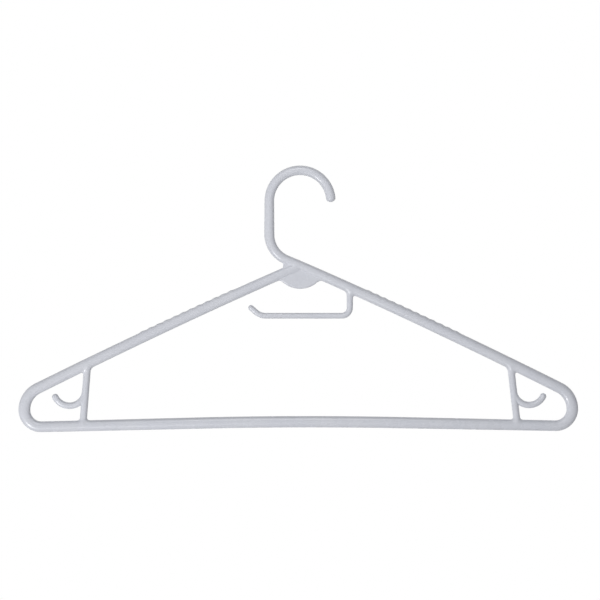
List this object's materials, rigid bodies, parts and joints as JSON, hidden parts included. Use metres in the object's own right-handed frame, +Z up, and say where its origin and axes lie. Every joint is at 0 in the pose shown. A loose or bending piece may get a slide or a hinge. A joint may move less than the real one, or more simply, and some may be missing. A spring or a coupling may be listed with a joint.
{
  "type": "coat hanger",
  "caption": "One-plane plastic coat hanger: open hook, sloping arms with low ridges, rounded ends, trouser bar, tie bar on a post, and a skirt hook at each end.",
  "frame": {"origin": "the inside top of the hook, where it rests on a rail, midway between front and back", "axes": "+X to the right along the trouser bar, as seen from the front; +Y from front to back; +Z up"},
  "size_m": [0.42, 0.0066, 0.1994],
  "materials": {
    "white_plastic": "satin, as moulded"
  },
  "bodies": {
    "root": {"hook": "white_plastic", "neck": "white_plastic", "neck_web": "white_plastic", "neck_gusset": "white_plastic", "left_arm": "white_plastic", "right_arm": "white_plastic", "left_end_bend": "white_plastic", "right_end_bend": "white_plastic", "bottom_bar": "white_plastic", "left_post": "white_plastic", "right_post": "white_plastic", "left_skirt_hook": "white_plastic", "right_skirt_hook": "white_plastic", "tie_bar": "white_plastic"}
  },
  "joints": []
}
